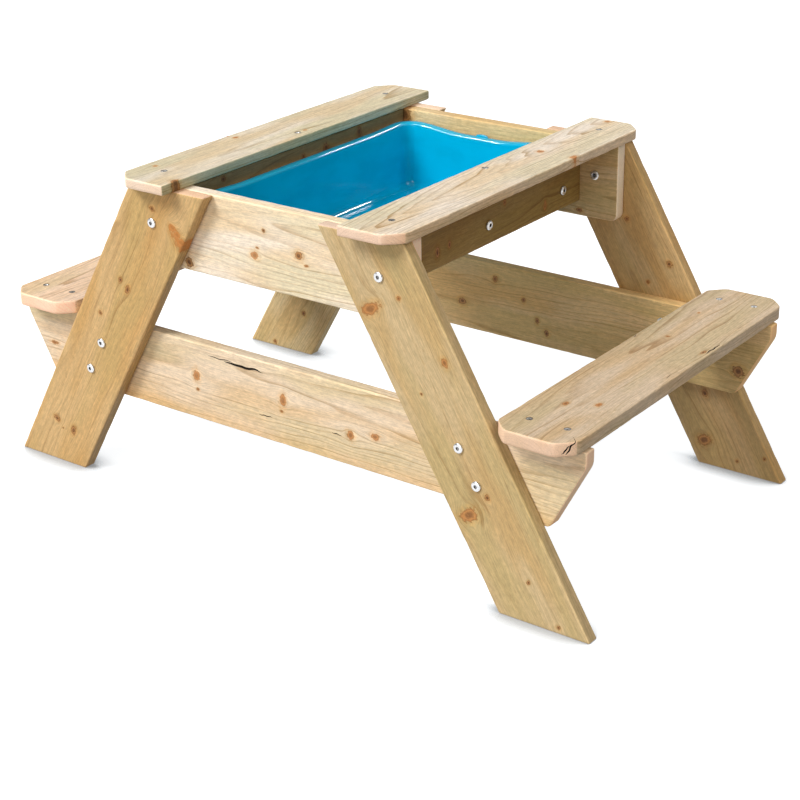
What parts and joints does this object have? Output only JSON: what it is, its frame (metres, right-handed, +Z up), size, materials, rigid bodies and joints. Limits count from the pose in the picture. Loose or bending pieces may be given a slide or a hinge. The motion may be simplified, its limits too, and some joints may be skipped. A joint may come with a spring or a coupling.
{
  "type": "sand and water table",
  "caption": "Child's wooden picnic-style bench table with splayed legs, two top planks and a lift-out plastic tub for sand or water between them.",
  "frame": {"origin": "on the ground under the middle of the table", "axes": "+X across the table towards the right seat, +Y along the planks towards the far end, +Z up"},
  "size_m": [1.0466, 0.624, 0.5],
  "materials": {
    "leg_wood": "planed, oiled warm pine",
    "frame_wood": "planed pale pine",
    "plank_wood": "planed greyish pine",
    "tub_plastic": "glossy moulded",
    "zinc": "bright zinc plated"
  },
  "bodies": {
    "table": {"apron_far": "frame_wood", "apron_near": "frame_wood", "batten_left": "plank_wood", "batten_right": "plank_wood", "beam_far": "frame_wood", "beam_near": "frame_wood", "bolt_apron_far_left": "zinc", "bolt_apron_far_right": "zinc", "bolt_apron_near_left": "zinc", "bolt_apron_near_right": "zinc", "bolt_beam_lower_far_left": "zinc", "bolt_beam_lower_far_right": "zinc", "bolt_beam_lower_near_left": "zinc", "bolt_beam_lower_near_right": "zinc", "bolt_beam_upper_far_left": "zinc", "bolt_beam_upper_far_right": "zinc", "bolt_beam_upper_near_left": "zinc", "bolt_beam_upper_near_right": "zinc", "leg_far_left": "leg_wood", "leg_far_right": "leg_wood", "leg_near_left": "leg_wood", "leg_near_right": "leg_wood", "nut_apron_far_left": "zinc", "nut_apron_far_right": "zinc", "nut_apron_near_left": "zinc", "nut_apron_near_right": "zinc", "nut_beam_lower_far_left": "zinc", "nut_beam_lower_far_right": "zinc", "nut_beam_lower_near_left": "zinc", "nut_beam_lower_near_right": "zinc", "nut_beam_upper_far_left": "zinc", "nut_beam_upper_far_right": "zinc", "nut_beam_upper_near_left": "zinc", "nut_beam_upper_near_right": "zinc", "plank_screw_far_left": "zinc", "plank_screw_far_right": "zinc", "plank_screw_near_left": "zinc", "plank_screw_near_right": "zinc", "rail_bolt_left_1": "zinc", "rail_bolt_left_2": "zinc", "rail_bolt_left_3": "zinc", "rail_bolt_right_1": "zinc", "rail_bolt_right_2": "zinc", "rail_bolt_right_3": "zinc", "rail_left": "plank_wood", "rail_right": "plank_wood", "seat_left": "plank_wood", "seat_right": "plank_wood", "seat_screw_far_left_inner": "zinc", "seat_screw_far_left_outer": "zinc", "seat_screw_far_right_inner": "zinc", "seat_screw_far_right_outer": "zinc", "seat_screw_near_left_inner": "zinc", "seat_screw_near_left_outer": "zinc", "seat_screw_near_right_inner": "zinc", "seat_screw_near_right_outer": "zinc", "top_plank_left": "plank_wood", "top_plank_right": "plank_wood"},
    "tub": {"tub": "tub_plastic"}
  },
  "joints": [
    {"name": "tub_lift", "type": "slide", "parent": "table", "child": "tub", "axis": [0, 0, 1], "range_m": [0, 0.15]}
  ]
}
